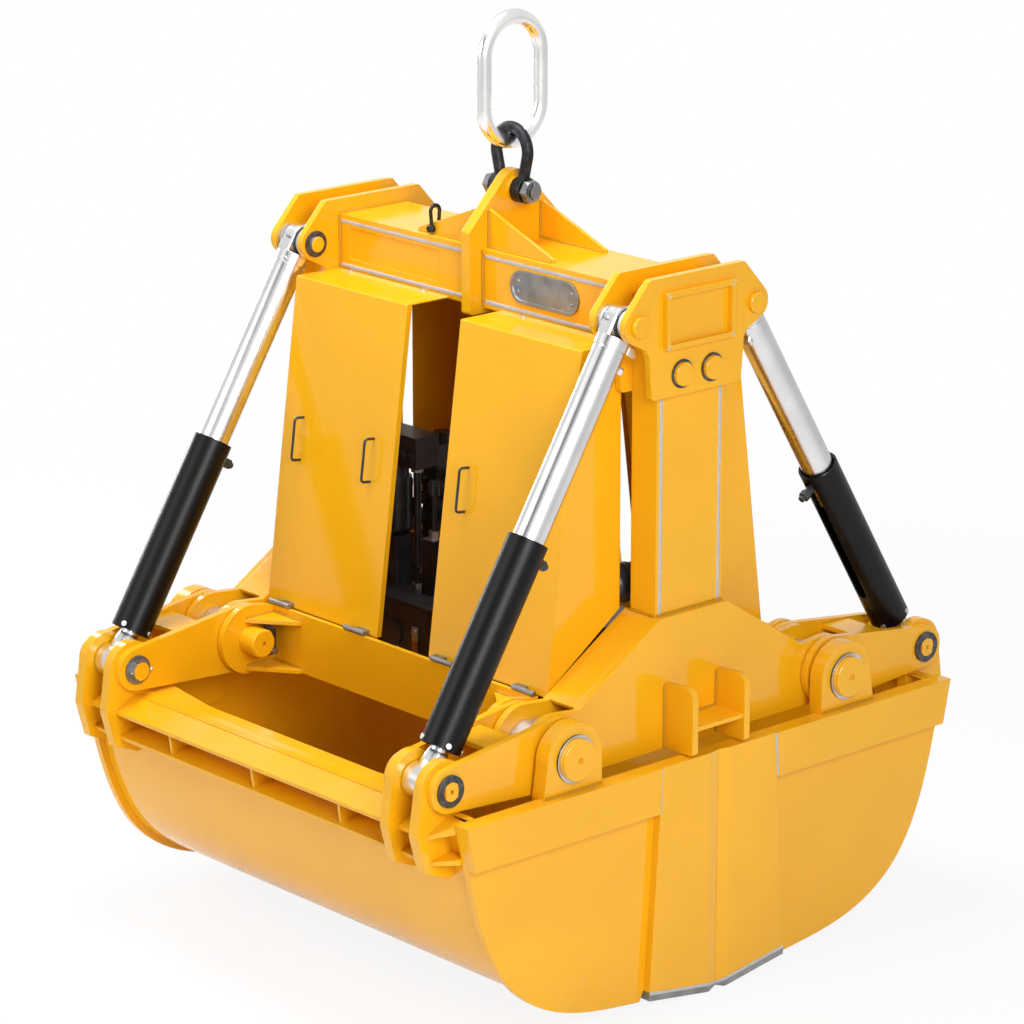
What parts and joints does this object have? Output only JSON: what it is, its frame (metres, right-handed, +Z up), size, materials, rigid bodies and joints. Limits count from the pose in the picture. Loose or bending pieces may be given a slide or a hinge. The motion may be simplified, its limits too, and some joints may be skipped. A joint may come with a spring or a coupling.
{
  "type": "two-shell hydraulic grab",
  "caption": "Hydraulic grab with clamshell jaws worked by four cylinders, hung from a beam with shackle and master link, hinged covers over its power unit.",
  "frame": {"origin": "on the inner face of the master link's crown, where the crane hook bears", "axes": "+Z up along the hanging line, X along the shell pivot pins, Y the way the shells open"},
  "size_m": [1.98, 2.3196, 3.0463],
  "materials": {
    "yellow_paint": "gloss enamel",
    "polished_steel": "polished",
    "grey_steel": "machined",
    "dark_steel": "forged, darkened",
    "black_gloss": "gloss black enamel",
    "black_paint": "satin black enamel",
    "pale_paint": "satin enamel"
  },
  "bodies": {
    "link": {"master_link": "polished_steel"},
    "shackle": {"shackle_bow": "dark_steel", "shackle_bolt": "dark_steel"},
    "frame": {"lifting_plate": "yellow_paint", "lifting_gussets": "yellow_paint", "top_beam": "yellow_paint", "head_cheeks": "yellow_paint", "columns": "yellow_paint", "head_trim": "yellow_paint", "upper_pins": "grey_steel", "base_plates": "yellow_paint", "pivot_ears": "yellow_paint", "base_walls": "yellow_paint", "guide_brackets": "yellow_paint", "bearing_blocks": "grey_steel", "main_pins": "yellow_paint", "tank": "black_paint", "power_unit": "black_paint", "tank_fittings": "black_paint", "accumulator": "pale_paint", "door_mounts": "grey_steel"},
    "small_shackle": {"small_shackle": "dark_steel"},
    "front_shell": {"front_side_plates": "yellow_paint", "front_back_plate": "yellow_paint", "front_blade": "grey_steel", "front_wear_plates": "yellow_paint", "front_pivot_lugs": "yellow_paint", "front_arms": "yellow_paint", "front_cylinder_lugs": "yellow_paint", "front_rim": "yellow_paint", "front_rod_pins": "grey_steel"},
    "rear_shell": {"rear_side_plates": "yellow_paint", "rear_back_plate": "yellow_paint", "rear_blade": "grey_steel", "rear_wear_plates": "yellow_paint", "rear_pivot_lugs": "yellow_paint", "rear_arms": "yellow_paint", "rear_cylinder_lugs": "yellow_paint", "rear_rim": "yellow_paint", "rear_rod_pins": "grey_steel"},
    "barrel_front_left": {"barrel_front_left": "polished_steel"},
    "rod_front_left": {"rod_front_left": "polished_steel", "guard_front_left": "black_gloss"},
    "door_front_left": {"door_front_left": "yellow_paint", "door_fittings_front_left": "grey_steel"},
    "barrel_front_right": {"barrel_front_right": "polished_steel"},
    "rod_front_right": {"rod_front_right": "polished_steel", "guard_front_right": "black_gloss"},
    "door_front_right": {"door_front_right": "yellow_paint", "door_fittings_front_right": "grey_steel"},
    "barrel_rear_left": {"barrel_rear_left": "polished_steel"},
    "rod_rear_left": {"rod_rear_left": "polished_steel", "guard_rear_left": "black_gloss"},
    "door_rear_left": {"door_rear_left": "yellow_paint", "door_fittings_rear_left": "grey_steel"},
    "barrel_rear_right": {"barrel_rear_right": "polished_steel"},
    "rod_rear_right": {"rod_rear_right": "polished_steel", "guard_rear_right": "black_gloss"},
    "door_rear_right": {"door_rear_right": "yellow_paint", "door_fittings_rear_right": "grey_steel"}
  },
  "joints": [
    {"name": "shackle_swing", "type": "hinge", "parent": "link", "child": "shackle", "pos_m": [0, 0, -0.375], "axis": [0, 1, 0], "range_deg": [-15, 15]},
    {"name": "frame_swing", "type": "hinge", "parent": "shackle", "child": "frame", "pos_m": [0, 0, -0.528], "axis": [1, 0, 0], "range_deg": [-15, 15]},
    {"name": "front_shell_open", "type": "hinge", "parent": "frame", "child": "front_shell", "pos_m": [0, -0.6, -2.078], "axis": [-1, 0, 0], "range_deg": [0, 60]},
    {"name": "rear_shell_open", "type": "hinge", "parent": "frame", "child": "rear_shell", "pos_m": [0, 0.6, -2.078], "axis": [1, 0, 0], "range_deg": [0, 60]},
    {"name": "small_shackle_swing", "type": "hinge", "parent": "frame", "child": "small_shackle", "pos_m": [-0.249, -0.112, -0.686], "axis": [0, 1, 0], "range_deg": [-40, 40]},
    {"name": "barrel_tilt_front_left", "type": "hinge", "parent": "frame", "child": "barrel_front_left", "pos_m": [-0.7765, -0.251, -0.793], "axis": [-1, 0, 0], "range_deg": [0, 1.5]},
    {"name": "rod_slide_front_left", "type": "slide", "parent": "barrel_front_left", "child": "rod_front_left", "axis": [0, 0.5231, 0.8522], "range_m": [0, 0.4485]},
    {"name": "door_hinge_front_left", "type": "hinge", "parent": "frame", "child": "door_front_left", "pos_m": [-0.412, -0.497, -1.968], "axis": [1, 0, 0], "range_deg": [0, 35]},
    {"name": "barrel_tilt_front_right", "type": "hinge", "parent": "frame", "child": "barrel_front_right", "pos_m": [0.7765, -0.251, -0.793], "axis": [-1, 0, 0], "range_deg": [0, 1.5]},
    {"name": "rod_slide_front_right", "type": "slide", "parent": "barrel_front_right", "child": "rod_front_right", "axis": [0, 0.5231, 0.8522], "range_m": [0, 0.4485]},
    {"name": "door_hinge_front_right", "type": "hinge", "parent": "frame", "child": "door_front_right", "pos_m": [0.412, -0.497, -1.968], "axis": [1, 0, 0], "range_deg": [0, 35]},
    {"name": "barrel_tilt_rear_left", "type": "hinge", "parent": "frame", "child": "barrel_rear_left", "pos_m": [-0.7765, 0.251, -0.793], "axis": [1, 0, 0], "range_deg": [0, 1.5]},
    {"name": "rod_slide_rear_left", "type": "slide", "parent": "barrel_rear_left", "child": "rod_rear_left", "axis": [0, -0.5231, 0.8522], "range_m": [0, 0.4485]},
    {"name": "door_hinge_rear_left", "type": "hinge", "parent": "frame", "child": "door_rear_left", "pos_m": [-0.412, 0.497, -1.968], "axis": [-1, 0, 0], "range_deg": [0, 35]},
    {"name": "barrel_tilt_rear_right", "type": "hinge", "parent": "frame", "child": "barrel_rear_right", "pos_m": [0.7765, 0.251, -0.793], "axis": [1, 0, 0], "range_deg": [0, 1.5]},
    {"name": "rod_slide_rear_right", "type": "slide", "parent": "barrel_rear_right", "child": "rod_rear_right", "axis": [0, -0.5231, 0.8522], "range_m": [0, 0.4485]},
    {"name": "door_hinge_rear_right", "type": "hinge", "parent": "frame", "child": "door_rear_right", "pos_m": [0.412, 0.497, -1.968], "axis": [-1, 0, 0], "range_deg": [0, 35]}
  ],
  "couplings": [
    {"joint": "rear_shell_open", "follows": "front_shell_open", "ratio": 1},
    {"joint": "barrel_tilt_front_left", "follows": "front_shell_open", "ratio": 0.024015},
    {"joint": "rod_slide_front_left", "follows": "front_shell_open", "m_per_rad": 0.4279},
    {"joint": "barrel_tilt_front_right", "follows": "front_shell_open", "ratio": 0.024015},
    {"joint": "rod_slide_front_right", "follows": "front_shell_open", "m_per_rad": 0.4279},
    {"joint": "barrel_tilt_rear_left", "follows": "front_shell_open", "ratio": 0.024015},
    {"joint": "rod_slide_rear_left", "follows": "front_shell_open", "m_per_rad": 0.4279},
    {"joint": "barrel_tilt_rear_right", "follows": "front_shell_open", "ratio": 0.024015},
    {"joint": "rod_slide_rear_right", "follows": "front_shell_open", "m_per_rad": 0.4279}
  ]
}
